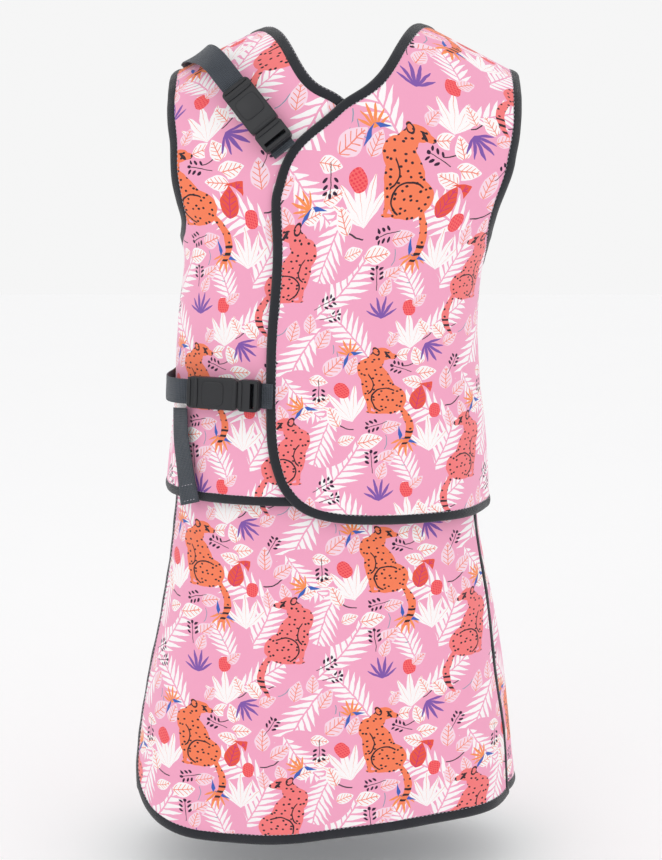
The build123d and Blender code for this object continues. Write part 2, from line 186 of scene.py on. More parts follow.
def smooth_line(points, count):
    """An even line along a smooth curve through the points."""
    p = np.array(points, float)
    steps = 24
    dense = []
    last = len(p) - 1
    for i in range(last):
        a, b, c, d = p[max(i - 1, 0)], p[i], p[i + 1], p[min(i + 2, last)]
        for k in range(steps):
            f = k / steps
            dense.append(0.5 * (2 * b + (c - a) * f + (2 * a - 5 * b + 4 * c - d) * f**2
                                + (3 * b - a - 3 * c + d) * f**3))
    return even_line(np.array(dense + [p[-1]]), count)


def patch(bottom, top, left, right):
    u = np.linspace(0, 1, len(bottom))[None, :, None]
    v = np.linspace(0, 1, len(left))[:, None, None]
    bottom, top = np.array(bottom)[None], np.array(top)[None]
    left, right = np.array(left)[:, None], np.array(right)[:, None]
    return ((1 - v) * bottom + v * top + (1 - u) * left + u * right
            - (1 - u) * (1 - v) * bottom[:, :1] - u * (1 - v) * bottom[:, -1:]
            - (1 - u) * v * top[:, :1] - u * v * top[:, -1:])


# ---- how the cloth stands off the form: soft waves and drape ----
def waves(a, b, kind):
    """Millimetres that the cloth stands away from the form, the same for every layer."""
    t = np.radians(a)
    if kind == "skirt":
        low = np.clip((SKIRT_TOP - 60 - b) / 420, 0, 1) ** 1.3
        folds = 2.6 * np.sin(7 * t + 0.6) + 1.7 * np.sin(11 * t + 2.1 + b / 260)
        soft = 0.7 * np.sin(b / 31 + 3 * t) * np.sin(5 * t + 1)
        return low * folds + soft * 0.6 + 1.4
    low = np.clip((760 - b) / 300, 0, 1)
    folds = 1.5 * np.sin(6 * t + 1.1) + 1.0 * np.sin(10 * t + 0.4 + b / 200)
    soft = 0.8 * np.sin(b / 37 + 2 * t) * np.sin(4 * t + 2)
    belt = -1.6 * np.exp(-(((b - BELT_HEIGHT) / 30) ** 2))
    return low * folds + soft + belt + 1.2


HEM_SAG = 31.0               # how much lower the skirt's hem hangs than on the bare form, mm
HEM_FLARE = 0.03             # how much wider it hangs there, as a share
HIPS_MIDDLE = -16            # the x that the flare is measured from


def below_vest(b):
    """0 at the vest's hem, 1 near the skirt's hem."""
    return np.clip((VEST_FRONT_HEM - b) / 350, 0, None)


def cloth(kind, place, lift):
    point = skirt_point if kind == "skirt" else vest_point
    a, b = place[..., 0], place[..., 1]
    spot = lifted(point, a, b, lift + waves(a, b, kind))
    if kind == "skirt":
        low = below_vest(b)
        spot[..., 2] -= HEM_SAG * low
        spot[..., 0] += (spot[..., 0] - HIPS_MIDDLE) * HEM_FLARE * low
    return metres(spot)


# ---- mesh helpers ----
def turned_inside_out(mesh):
    """Whether a closed mesh's faces point inwards, from its signed volume."""
    mesh.calc_loop_triangles()
    co = np.array([v.co for v in mesh.vertices])
    a, b, c = (co[[t.vertices[k] for t in mesh.loop_triangles]] for k in range(3))
    return float(np.einsum("ij,ij->", a, np.cross(b, c))) < 0


def new_mesh(name, vertices, faces, uv=None, smooth=True):
    mesh = bpy.data.meshes.new(name)
    mesh.from_pydata([tuple(v) for v in vertices], [], faces)
    if uv is not None:
        layer = mesh.uv_layers.new(name="Cloth")
        loops = np.empty(len(mesh.loops), np.int32)
        mesh.loops.foreach_get("vertex_index", loops)
        layer.data.foreach_set("uv", np.asarray(uv, np.float32)[loops].ravel())
    mesh.validate()
    if turned_inside_out(mesh):
        mesh.flip_normals()
    if smooth:
        mesh.shade_smooth()
    piece = bpy.data.objects.new(name, mesh)
    bpy.context.scene.collection.objects.link(piece)
    return piece


def grid_faces(rows, columns, start=0, flip=False):
    j, i = np.meshgrid(np.arange(rows - 1), np.arange(columns - 1), indexing="ij")
    q = (start + j * columns + i).ravel()
    quads = np.stack([q, q + 1, q + 1 + columns, q + columns], -1)
    return (quads[:, ::-1] if flip else quads).tolist()


def closed_sheet(name, outer, inner, uv):
    """A closed mesh from two grids with the same layout."""
    rows, columns = outer.shape[:2]
    count = rows * columns
    faces = grid_faces(rows, columns) + grid_faces(rows, columns, count, True)
    ring = ([(0, i) for i in range(columns)] + [(j, columns - 1) for j in range(1, rows)]
            + [(rows - 1, i) for i in range(columns - 2, -1, -1)]
            + [(j, 0) for j in range(rows - 2, 0, -1)])
    ids = [j * columns + i for j, i in ring]
    for p, q in zip(ids, ids[1:] + ids[:1]):
        faces.append((q, p, p + count, q + count))
    points = np.concatenate([outer.reshape(-1, 3), inner.reshape(-1, 3)])
    return new_mesh(name, points, faces, np.concatenate([uv, uv]))


def cloth_uv(kind, grid):
    """Flat cloth coordinates in metres: distance round the body, and height."""
    a, b = grid[..., 0], grid[..., 1]
    rows = HIPS if kind == "skirt" else TORSO
    power = SKIRT_POWER if kind == "skirt" else VEST_POWER
    turn = np.linspace(-200, 300, 1001)
    reference = 300.0 if kind == "skirt" else 640.0
    _, half_width, half_depth = station(rows, np.full(turn.shape, reference))
    across, deep = unit_curve(np.radians(turn), power)
    step = np.hypot(np.diff(across * half_width), np.diff(deep * half_depth))
    run = np.concatenate([[0], np.cumsum(step)])
    run -= np.interp(-90.0, turn, run)
    scale = station(rows, np.minimum(b, 700))[1] / half_width[0]
    u = np.interp(a, turn, run) * scale / 1000
    v = b - HEM_SAG * below_vest(b) if kind == "skirt" else b
    return np.stack([u, v / 1000], -1).reshape(-1, 2)


# ---- materials ----
def sums(operation):
    """A method that adds a math node of one operation."""
    def method(self, a, b=None, clamp=False):
        return self.math(operation, a, b, clamp=clamp)
    return method


class Nodes:
    """Short names for the shader nodes that the materials are built from."""

    add, sub, mul, div = (sums(kind) for kind in ("ADD", "SUBTRACT", "MULTIPLY", "DIVIDE"))
    less, more, max = (sums(kind) for kind in ("LESS_THAN", "GREATER_THAN", "MAXIMUM"))
    abs, sine, power = (sums(kind) for kind in ("ABSOLUTE", "SINE", "POWER"))
    fract, floor = (sums(kind) for kind in ("FRACT", "FLOOR"))

    def __init__(self, name):
        self.material = bpy.data.materials.new(name)
        self.material.use_nodes = True
        self.tree = self.material.node_tree
        self.tree.nodes.clear()
        self.shader = self.tree.nodes.new("ShaderNodeBsdfPrincipled")
        output = self.tree.nodes.new("ShaderNodeOutputMaterial")
        self.link(self.shader.outputs[0], output.inputs[0])

    def link(self, source, target):
        if isinstance(source, (int, float)):
            target.default_value = source
        elif isinstance(source, (tuple, list)):
            if len(source) == 3 and target.type == "RGBA":
                source = (*source, 1)
            target.default_value = source
        else:
            self.tree.links.new(source, target)

    def math(self, operation, a, b=None, c=None, clamp=False):
        node = self.tree.nodes.new("ShaderNodeMath")
        node.operation = operation
        node.use_clamp = clamp
        for value, socket in zip((a, b, c), node.inputs):
            if value is not None:
                self.link(value, socket)
        return node.outputs[0]

    def vector(self, operation, a, b=None, c=None):
        node = self.tree.nodes.new("ShaderNodeVectorMath")
        node.operation = operation
        for value, socket in zip((a, b, c), node.inputs):
            if value is not None:
                self.link(value, socket)
        return node.outputs["Value" if operation == "LENGTH" else "Vector"]

    def split(self, vector):
        node = self.tree.nodes.new("ShaderNodeSeparateXYZ")
        self.link(vector, node.inputs[0])
        return node.outputs[0], node.outputs[1], node.outputs[2]

    def mix(self, factor, a, b, kind="RGBA"):
        node = self.tree.nodes.new("ShaderNodeMix")
        node.data_type = kind
        sockets = [s for s in node.inputs if s.enabled]
        self.link(factor, sockets[0])
        self.link(a, sockets[1])
        self.link(b, sockets[2])
        return [s for s in node.outputs if s.enabled][0]

    def local(self, vector, x=0.0, y=0.0, turn=0.0, size=(1.0, 1.0), tag=0.0):
        """Coordinates of a motif that lies at x, y, turned and scaled. z carries a tag."""
        node = self.tree.nodes.new("ShaderNodeMapping")
        node.vector_type = "TEXTURE"
        node.inputs["Location"].default_value = (x, y, -tag)
        node.inputs["Rotation"].default_value = (0, 0, math.radians(turn))
        node.inputs["Scale"].default_value = (size[0], size[1], 1)
        self.link(vector, node.inputs["Vector"])
        return node.outputs[0]

    def around(self, tile, x, y):
        """Tile coordinates measured from a motif, the short way round the repeat."""
        moved = self.vector("SUBTRACT", tile, (x, y, 0))
        return self.vector("WRAP", moved, (0.5, 0.5, 0.5), (-0.5, -0.5, -0.5))

    def scatter(self, tile, places, reach=1.0):
        """Local coordinates of whichever listed motif a point lies in."""
        best = (9.0, 9.0, 0.0)
        for x, y, turn, size, *tag in places:
            here = self.local(self.around(tile, x, y), turn=turn, size=(size, size),
                              tag=tag[0] if tag else 0)
            flat = self.vector("MULTIPLY", here, (1, 1, 0))
            inside = self.math("LESS_THAN", self.vector("LENGTH", flat), reach)
            best = self.mix(inside, best, here, "VECTOR")
        return best

    def ellipse(self, vector, x, y, turn, wide, high):
        here = self.local(vector, x, y, turn, (wide, high))
        return self.vector("LENGTH", self.vector("MULTIPLY", here, (1, 1, 0)))

    def soft_min(self, a, b, blend):
        return self.math("SMOOTH_MIN", a, b, blend)

    def noise(self, vector, scale, detail=2.0, out=0):
        node = self.tree.nodes.new("ShaderNodeTexNoise")
        node.inputs["Scale"].default_value = scale
        node.inputs["Detail"].default_value = detail
        self.link(vector, node.inputs["Vector"])
        return node.outputs[out]

    def bump(self, height, strength, distance, normal=None):
        node = self.tree.nodes.new("ShaderNodeBump")
        node.inputs["Strength"].default_value = strength
        node.inputs["Distance"].default_value = distance
        self.link(height, node.inputs["Height"])
        if normal is not None:
            self.link(normal, node.inputs["Normal"])
        return node.outputs[0]

    def cloth_place(self):
        node = self.tree.nodes.new("ShaderNodeUVMap")
        node.uv_map = "Cloth"
        return node.outputs[0]

    def place(self):
        return self.tree.nodes.new("ShaderNodeTexCoord").outputs["Object"]

    def finish(self, color=None, roughness=None, normal=None, **fixed):
        for value, name in ((color, "Base Color"), (roughness, "Roughness"), (normal, "Normal")):
            if value is not None:
                self.link(value, self.shader.inputs[name])
        for name, value in fixed.items():
            self.shader.inputs[name.replace("_", " ")].default_value = value
        return self.material


def srgb(red, green, blue):
    return tuple(((v / 255 + 0.055) / 1.055) ** 2.4 if v > 10 else v / 255 / 12.92
                 for v in (red, green, blue))


GROUND = srgb(246, 168, 199)
BLUSH = srgb(252, 220, 234)
WHITE = srgb(255, 252, 252)
VEIN = srgb(247, 140, 122)
CAT_ORANGE = srgb(250, 128, 86)
CAT_CORAL = srgb(248, 124, 124)
INK = srgb(34, 28, 36)
PURPLE = srgb(130, 86, 172)
BLUE = srgb(52, 98, 188)
FLOWER_ORANGE = srgb(252, 146, 82)
LEAF_RED = srgb(236, 84, 62)
LEAF_VEIN = srgb(214, 58, 112)
CORAL = srgb(250, 104, 104)
BLOOM_RED = srgb(238, 62, 80)
DUSK = srgb(214, 140, 170)
BERRY = srgb(40, 14, 48)
TWIG = srgb(56, 50, 58)
TWIG_PALE = srgb(134, 160, 178)

# x, y and turn in the repeat, size, and for some a tag that picks the colour.
FRONDS = [
    (0.575, 0.615, 62, 0.20), (0.07, 0.285, -38, 0.21), (0.15, 0.035, 40, 0.19),
    (0.635, 0.405, -28, 0.185), (0.865, 0.93, 150, 0.21), (0.985, 0.50, 158, 0.175),
    (0.86, 0.70, -140, 0.16), (0.44, 0.30, 25, 0.15), (0.62, 0.13, -60, 0.17),
]
LEAVES = [
    (0.435, 0.945, -80, 0.055, 1), (0.49, 0.93, 20, 0.055, 1), (0.54, 0.835, -85, 0.06, 1),
    (0.465, 0.79, 75, 0.055, 1), (0.66, 0.80, 0, 0.065, 0), (0.76, 0.735, -55, 0.062, 0),
    (0.35, 0.545, -75, 0.055, 0), (0.04, 0.60, 25, 0.06, 1), (0.235, 0.47, -78, 0.066, 1),
    (0.11, 0.475, -70, 0.048, 1), (0.32, 0.375, -52, 0.066, 0), (0.30, 0.31, -20, 0.05, 0),
    (0.675, 0.575, 10, 0.05, 0), (0.765, 0.615, 18, 0.05, 0), (0.89, 0.615, -72, 0.05, 1),
    (0.985, 0.685, -70, 0.05, 1), (0.05, 0.885, -48, 0.075, 0), (0.145, 0.885, -20, 0.055, 0),
    (0.515, 0.09, 30, 0.05, 1), (0.60, 0.07, 40, 0.055, 1), (0.83, 0.075, -12, 0.06, 0),
    (0.915, 0.115, 0, 0.052, 0), (0.99, 0.035, -30, 0.062, 0), (0.68, 0.015, -60, 0.05, 0),
    (0.485, 0.24, -50, 0.045, 0), (0.36, 0.03, -30, 0.045, 0), (0.965, 0.80, -100, 0.05, 1),
]
RED_LEAVES = [(0.515, 0.725, -50, 0.085, 2), (0.50, 0.70, -15, 0.07, 2)]
FANS = [
    (0.285, 0.19, 4, 0.088, 0), (0.565, 0.965, -135, 0.088, 0),
    (0.125, 0.975, 12, 0.07, 1), (0.845, 0.66, 60, 0.068, 1), (0.415, 0.445, 172, 0.078, 1),
]
WHITE_FANS = [
    (0.115, 0.655, 18, 0.155), (0.55, 0.475, 2, 0.13), (0.445, 0.05, 6, 0.135),
]
BLOOMS = [(0.088, 0.745, 35, 0.05), (0.588, 0.622, -8, 0.043), (0.432, 0.2, 10, 0.045)]
SPRIGS = [
    (0.405, 0.865, 70, 0.062), (0.27, 0.555, 105, 0.062), (0.245, 0.355, 5, 0.066),
    (0.70, 0.87, -30, 0.06), (0.965, 0.745, 180, 0.066), (0.02, 0.15, -75, 0.06),
    (0.985, 0.22, -60, 0.064),
]
STICKS = [
    (0.465, 0.89, 30, 0.05, 0), (0.71, 0.655, 25, 0.06, 0), (0.86, 0.665, -35, 0.04, 0),
    (0.80, 0.555, -40, 0.05, 0), (0.09, 0.545, -25, 0.06, 0), (0.665, 0.08, 5, 0.05, 0),
    (0.555, 0.05, 50, 0.05, 0), (0.045, 0.955, 80, 0.045, 1), (0.325, 0.46, 85, 0.04, 1),
    (0.40, 0.33, 5, 0.04, 1), (0.77, 0.06, 35, 0.04, 1), (0.075, 0.925, -60, 0.04, 1),
]
BARS = [
    (0.150, 0.952, -86, 0.055), (0.112, 0.912, -20, 0.05), (0.395, 0.50, -172, 0.052),
    (0.445, 0.465, 70, 0.05), (0.905, 0.645, 82, 0.055), (0.855, 0.615, -38, 0.05),
]


def band(n, value, middle, half):
    """1 where a value lies within half of the middle."""
    return n.math("COMPARE", value, middle, half)


def frond_mask(n, here):
    """A palm frond: slanted pointed leaflets on both sides of a stem."""
    x, y, _ = n.split(here)
    x = n.add(x, n.mul(n.mul(y, y), 0.10))
    side = n.abs(x)
    rank = n.mul(n.sub(y, n.mul(side, 0.85)), 4.6)
    rank = n.add(rank, n.mul(n.more(x, 0.0), 0.5))
    root = n.div(n.floor(rank), 4.6)
    across = n.abs(n.sub(n.fract(rank), 0.5))
    reach = n.sub(0.52, n.mul(n.mul(root, root), 0.42))
    out = n.div(side, n.max(reach, 0.02))
    width = n.mul(n.sub(1.0, n.mul(out, out)), 0.39)
    leaf = n.less(across, width)
    clear = n.more(side, 0.022)
    inside = n.less(n.abs(y), 1.0)
    return n.mul(n.mul(leaf, clear), inside)


def leaf_shape(n, here):
    """A pointed oval leaf: its mask, its veins and its tag."""
    x, y, tag = n.split(here)
    side = n.abs(x)
    profile = n.sub(1.0, n.mul(y, y))
    lean = n.sub(0.62, n.mul(y, 0.24))
    width = n.mul(n.power(n.max(profile, 0), 0.75), lean)
    mask = n.less(side, width)
    spine = n.less(side, 0.04)
    slant = n.sub(y, n.mul(side, 0.9))
    ribs = band(n, n.fract(n.mul(slant, 2.6)), 0.5, 0.10)
    ribs = n.mul(ribs, n.less(side, n.mul(width, 0.78)))
    veins = n.mul(n.max(spine, ribs), mask)
    veins = n.mul(veins, n.less(y, 0.8))
    return mask, veins, tag


def fan_mask(n, here, petals, spread, fullness):
    """Petals that open like a fan from the motif's foot."""
    x, y, tag = n.split(here)
    y = n.add(y, 0.55)
    far = n.math("SQRT", n.add(n.mul(x, x), n.mul(y, y)))
    turn = n.div(n.math("ARCTAN2", x, y), spread)
    cell = n.mul(n.add(turn, 1.0), petals / 2)
    across = n.abs(n.sub(n.fract(cell), 0.5))
    rank = n.sub(n.add(n.floor(cell), 0.5), petals / 2)
    reach = n.sub(1.45, n.mul(n.abs(rank), 0.16))
    out = n.div(far, reach)
    shape = n.mul(n.sub(1.0, out), fullness)
    petal = n.less(across, n.add(shape, 0.04))
    near = n.mul(petal, n.less(n.abs(turn), 1.0))
    return n.mul(near, n.less(out, 1.0)), tag, across


def sprig_masks(n, here):
    """A thin stem with pairs of small berries, and one at its tip."""
    x, y, _ = n.split(here)
    side = n.abs(x)
    upper = n.more(y, -0.15)
    slant = n.sub(y, n.mul(side, 0.5))
    cell = n.sub(n.fract(n.mul(slant, 2.6)), 0.5)
    long = n.div(n.sub(side, 0.36), 0.17)
    wide = n.div(cell, 0.30)
    size = n.add(n.mul(long, long), n.mul(wide, wide))
    berries = n.mul(n.less(size, 1.0), upper)
    berries = n.mul(berries, n.less(y, 0.85))
    tip = n.less(n.ellipse(here, 0, 0.86, 0, 0.13, 0.16), 1.0)
    berries = n.max(berries, tip)
    stem = n.mul(n.less(side, 0.03), n.less(n.abs(y), 0.95))
    return berries, stem


def cat_masks(n, here):
    """A seated cat seen from the side: body, spots, ink lines and tag."""
    x, y, tag = n.split(here)
    body = n.ellipse(here, 0.16, -0.30, 18, 0.36, 0.36)
    for part in ((-0.02, 0.16, 26, 0.255, 0.50), (-0.20, 0.40, 8, 0.20, 0.30),
                 (-0.08, 0.60, -18, 0.17, 0.25)):
        body = n.soft_min(body, n.ellipse(here, *part), 0.25)
    head = n.soft_min(n.ellipse(here, 0.07, 0.80, -16, 0.19, 0.145),
                      n.ellipse(here, 0.24, 0.745, -18, 0.10, 0.07), 0.2)
    ear = n.ellipse(here, -0.06, 0.90, 30, 0.05, 0.08)
    body = n.soft_min(n.soft_min(body, head, 0.2), ear, 0.08)
    for leg in ((-0.235, 0.04, 4, 0.085, 0.42), (-0.19, -0.30, 2, 0.052, 0.34),
                (-0.155, -0.615, 80, 0.035, 0.09), (0.04, -0.62, 86, 0.042, 0.15)):
        body = n.soft_min(body, n.ellipse(here, *leg), 0.03)
    fur = n.less(body, 1.0)
    swing = n.sine(n.mul(n.add(y, 0.5), 3.1))
    middle = n.sub(0.40, n.mul(swing, 0.17))
    thick = n.add(0.062, n.mul(n.sine(n.mul(y, 5.0)), 0.012))
    tail = n.less(n.abs(n.sub(x, middle)), thick)
    tail = n.mul(tail, band(n, y, -0.93, 0.55))
    ringed = n.less(y, -1.06)
    rings = n.more(n.fract(n.mul(y, 7.4)), 0.62)
    cells = n.tree.nodes.new("ShaderNodeTexVoronoi")
    cells.voronoi_dimensions = "2D"
    cells.inputs["Scale"].default_value = 7.6
    cells.inputs["Randomness"].default_value = 0.72
    n.link(here, cells.inputs["Vector"])
    spots = n.less(cells.outputs["Distance"], 0.175)
    spots = n.mix(ringed, spots, rings, "FLOAT")
    cat = n.max(fur, tail)
    haunch = band(n, n.ellipse(here, 0.14, -0.33, 22, 0.27, 0.30), 1.0, 0.055)
    haunch = n.mul(haunch, n.less(n.sub(x, n.mul(y, 0.55)), 0.36))
    shoulder = band(n, n.ellipse(here, -0.30, 0.10, 12, 0.19, 0.30), 1.0, 0.06)
    shoulder = n.mul(shoulder, n.more(x, -0.2))
    ear_line = band(n, n.ellipse(here, -0.05, 0.86, 20, 0.055, 0.09), 1.0, 0.22)
    cheek = n.less(n.ellipse(here, 0.17, 0.755, 35, 0.026, 0.085), 1.0)
    nose = n.less(n.ellipse(here, 0.325, 0.735, 0, 0.028, 0.03), 1.0)
    eye = n.less(n.ellipse(here, 0.135, 0.83, -20, 0.045, 0.018), 1.0)
    ink = haunch
    for line in (shoulder, ear_line, cheek, nose, eye):
        ink = n.max(ink, line)
    dark = n.mul(n.max(spots, ink), cat)
    return cat, dark, tag


def weave(n, place, pitch=0.0011):
    """A fine plain weave as a height."""
    x, y, _ = n.split(place)
    turns = 2 * math.pi / pitch
    warp = n.sine(n.mul(x, turns))
    weft = n.sine(n.mul(y, turns))
    return n.mul(warp, weft)


def printed_fabric():
    n = Nodes("PrintedFabric")
    place = n.cloth_place()
    tile = n.vector("FRACTION", n.vector("MULTIPLY", place, (1 / TILE, 1 / TILE, 0)))
    cloud = n.noise(n.vector("MULTIPLY", place, (1, 1, 0)), 95.0, 1.0, 1)
    wobble = n.vector("SUBTRACT", cloud, (0.5, 0.5, 0.5))
    tile = n.vector("ADD", tile, n.vector("MULTIPLY", wobble, (0.012, 0.012, 0)))

    color = GROUND
    x, y, tag = n.split(n.scatter(tile, STICKS))
    bow = n.abs(n.sub(y, n.mul(n.mul(x, x), 0.25)))
    twig = n.less(bow, 0.055)
    color = n.mix(twig, color, n.mix(tag, TWIG, TWIG_PALE))

    color = n.mix(frond_mask(n, n.scatter(tile, FRONDS)), color, WHITE)

    fan, _, across = fan_mask(n, n.scatter(tile, WHITE_FANS, 0.95), 5, 1.0, 0.95)
    color = n.mix(fan, color, WHITE)
    color = n.mix(n.mul(fan, n.less(across, 0.02)), color, VEIN)

    bx, by, _ = n.split(n.scatter(tile, BLOOMS))
    size = n.add(n.power(n.abs(n.mul(bx, 1.25)), 2.4),
                  n.power(n.abs(by), 2.4))
    streak = n.mul(n.sine(n.mul(n.add(bx, by), 13)),
                    n.sine(n.mul(n.sub(bx, by), 9)))
    bloom = n.mix(n.more(streak, 0.15), CORAL, BLOOM_RED)
    color = n.mix(n.less(size, 0.85), color, bloom)

    mask, veins, tag = leaf_shape(n, n.scatter(tile, LEAVES))
    color = n.mix(mask, color, n.mix(tag, BLUSH, WHITE))
    color = n.mix(veins, color, VEIN)

    berries, stem = sprig_masks(n, n.scatter(tile, SPRIGS))
    color = n.mix(stem, color, TWIG)
    color = n.mix(berries, color, BERRY)

    fan, tag, _ = fan_mask(n, n.scatter(tile, FANS, 0.98), 6, 1.2, 0.62)
    color = n.mix(fan, color, n.mix(tag, PURPLE, FLOWER_ORANGE))
    x, y, _ = n.split(n.scatter(tile, BARS))
    taper = n.mul(n.sub(1.0, n.abs(y)), 0.2)
    color = n.mix(n.less(n.abs(x), taper), color, BLUE)

    mask, veins, _ = leaf_shape(n, n.scatter(tile, RED_LEAVES))
    color = n.mix(mask, color, LEAF_RED)
    color = n.mix(veins, color, LEAF_VEIN)

    orange = n.local(n.around(tile, 0.285, 0.765), size=(0.285, 0.228), tag=0.0)
    coral = n.local(n.around(tile, 0.80, 0.375), size=(-0.285, 0.228), tag=1.0)
    nearer = n.less(n.vector("LENGTH", n.vector("MULTIPLY", coral, (1.7, 0.85, 0))), 1.45)
    cat, dark, tag = cat_masks(n, n.mix(nearer, orange, coral, "VECTOR"))
    color = n.mix(cat, color, n.mix(tag, CAT_ORANGE, CAT_CORAL))
    color = n.mix(dark, color, INK)

    shade = n.noise(place, 9.0, 3.0)
    color = n.mix(n.mul(n.sub(shade, 0.35), 0.10, clamp=True), color, DUSK)
    height = weave(n, place)
    crease = n.bump(n.noise(place, 22.0, 3.0), 0.20, 0.002)
    rough = n.add(0.62, n.mul(n.noise(place, 300.0, 2.0), 0.14))
    return n.finish(color, rough, n.bump(height, 0.18, 0.0002, crease), Sheen_Weight=0.25,
                    Sheen_Roughness=0.5, Specular_IOR_Level=0.28)


def plain_cloth(name, color, pitch, rough, strength=0.35, coords="Cloth", ribs=False, sheen=0.2):
    """Lining, binding tape or webbing: a woven height, a little colour variation, and painted
    highlight on the weave's raised threads with painted shade between them.
    """
    n = Nodes(name)
    place = n.cloth_place() if coords == "Cloth" else n.place()
    x, y, z = n.split(place)
    turns = 2 * math.pi / pitch
    if ribs:
        rib = n.sine(n.mul(n.add(y, n.mul(z, 0.3)), turns))
        cross = n.sine(n.mul(x, turns * 0.8))
        height = n.add(rib, n.mul(cross, 0.6))
    else:
        height = n.sine(n.mul(n.add(n.add(x, y), z), turns))
        other = n.sine(n.mul(n.sub(n.sub(x, y), z), turns))
        height = n.mul(height, other)
    cloud = n.noise(place, 60.0, 3.0)
    # a lighter colour, used both for random tone and for the painted highlight on raised threads
    lighter_tone_and_highlight = tuple(min(v * 1.9 + 0.01, 1) for v in color)
    tint = n.mul(cloud, 0.55)
    # painted highlight and shade: lighter where the weave's threads stand high, darker where they
    # dip
    weave_crest_highlight = n.mul(n.add(height, 1.0), 0.12)
    shade = n.mix(n.add(tint, weave_crest_highlight, clamp=True), color, lighter_tone_and_highlight)
    roughness = n.add(rough, n.mul(cloud, 0.12))
    return n.finish(shade, roughness, n.bump(height, strength, 0.0004), Sheen_Weight=sheen,
                    Sheen_Roughness=0.45, Specular_IOR_Level=0.3)


def moulded_plastic(name, color):
    n = Nodes(name)
    place = n.place()
    grain = n.noise(place, 2600.0, 2.0)
    wear = n.noise(place, 70.0, 4.0)
    roughness = n.add(0.30, n.mul(wear, 0.22))
    shade = n.mix(n.mul(wear, 0.35), color, tuple(v * 2.4 + 0.006 for v in color))
    return n.finish(shade, roughness, n.bump(grain, 0.12, 0.0001), Specular_IOR_Level=0.5)


def rubber_sheet():
    n = Nodes("CoreSheet")
    place = n.place()
    cloud = n.noise(place, 45.0, 4.0)
    shade = n.mix(cloud, srgb(58, 58, 62), srgb(84, 84, 88))
    roughness = n.add(0.55, n.mul(cloud, 0.2))
    return n.finish(shade, roughness, n.bump(cloud, 0.2, 0.0004))


PRINT = printed_fabric()
LINING = plain_cloth("LiningFabric", srgb(84, 90, 104), 0.0016, 0.6)
CORE = rubber_sheet()
BINDING = plain_cloth("BindingTape", srgb(23, 25, 32), 0.0012, 0.62, 0.5, "Object", sheen=0.35)
WEBBING = plain_cloth("Webbing", srgb(54, 59, 66), 0.0021, 0.48, 0.7, ribs=True, sheen=0.15)
PLASTIC = moulded_plastic("BucklePlastic", srgb(24, 25, 29))
PILE = plain_cloth("HookAndLoop", srgb(34, 34, 38), 0.0024, 0.8, 0.8)
PAD = plain_cloth("PadCover", srgb(78, 84, 98), 0.0018, 0.65)
THREAD = plain_cloth("Thread", srgb(176, 170, 180), 0.0006, 0.6, 0.3, "Object")

# ---- the vest's outlines, as places of angle and rise ----
SEAM_GAP = 0.05
SHOULDER_TOP = BEND_END - 0.5
RIGHT_SIDE = -180 + SEAM_GAP
LEFT_SIDE = -SEAM_GAP
BACK_SEAMS = (SEAM_GAP, 180 - SEAM_GAP)
FOLD_X = 118.0


def shoulder_angle(x):
    return angle_of(TORSO, x, CREST, VEST_POWER)


def mirrored(place):
    return -place[0], place[1]


def along_vest(spots, back=False):
    return [on_vest(x, z, back) for x, z in spots]


NECK_RIGHT = (shoulder_angle(-104), SHOULDER_TOP)
NECK_LEFT = (shoulder_angle(105), SHOULDER_TOP)
TIP_RIGHT = (shoulder_angle(-196), SHOULDER_TOP)
TIP_LEFT = (shoulder_angle(213), SHOULDER_TOP)
ARMHOLE_RIGHT = along_vest(((-184, 794), (-189, 826), (-196, 879), (-201, 931)))
ARMHOLE_RIGHT = [(RIGHT_SIDE, 772), *ARMHOLE_RIGHT, TIP_RIGHT]
ARMHOLE_LEFT = along_vest(((178, 790), (189, 826), (204, 868), (212, 912)))
ARMHOLE_LEFT = [(LEFT_SIDE, 752), *ARMHOLE_LEFT, TIP_LEFT]
INNER_NECK = along_vest(((58, 885), (0, 933), (-51, 974))) + [NECK_RIGHT]
INNER_EDGE = along_vest(((60, VEST_BACK_HEM), (60, 600), (60, 750), (60, 860)))
FLAP_EDGE = along_vest(((-64, 478), (-74, 500), (-81, 535), (-83, 581), (-79, 690), (-75, 802),
                        (-70, 848), (-50, 889), (0, 933), (57, 981))) + [NECK_LEFT]
FLAP_HEM = along_vest(((-64, 478), (-46, 459), (-22, 448), (15, 442), (74, 441)))
FLAP_FOLD = along_vest([(FOLD_X, z) for z in (VEST_FRONT_HEM, 600, 750, 900, 960)])
FLAP_FOLD += [(shoulder_angle(FOLD_X), SHOULDER_TOP)]
BACK_NECK_LEFT = along_vest(((5, 918), (52, 940), (90, 981)), True) + [mirrored(NECK_LEFT)]
BACK_NECK_RIGHT = along_vest(((5, 918), (-44, 941), (-87, 985)), True) + [mirrored(NECK_RIGHT)]
WRAP_START = -24.0
WRAP_END = 288.0
SKIRT_HEM = [on_skirt(x, z) for x, z in (
    (-226, 97), (-200, 83), (-163, 76), (-100, 77), (0, 86), (100, 96))]
SKIRT_EDGE = [SKIRT_HEM[0], (-161, 119), (-167, 150)]
SKIRT_EDGE += [(-172.0, height) for height in (215, 340, 460, SKIRT_TOP)]
SKIRT_SEAM = [on_skirt(x, z) for x, z in (
    (205, 104), (199, 177), (187, 258), (175, 352), (158, 470), (143, SKIRT_TOP))]


def side_and_armhole(side, hem, armhole, count):
    seam = even_line([(side, hem), armhole[0]], 24)
    return even_line(np.concatenate([seam[:-1], smooth_line(armhole, 60)]), count)


def inner_front(rows, columns):
    edge = np.concatenate([np.array(INNER_EDGE), smooth_line(INNER_NECK, 60)])
    return patch(even_line([(RIGHT_SIDE, VEST_BACK_HEM), INNER_EDGE[0]], columns),
                 even_line([TIP_RIGHT, NECK_RIGHT], columns),
                 side_and_armhole(RIGHT_SIDE, VEST_BACK_HEM, ARMHOLE_RIGHT, rows),
                 even_line(edge, rows))


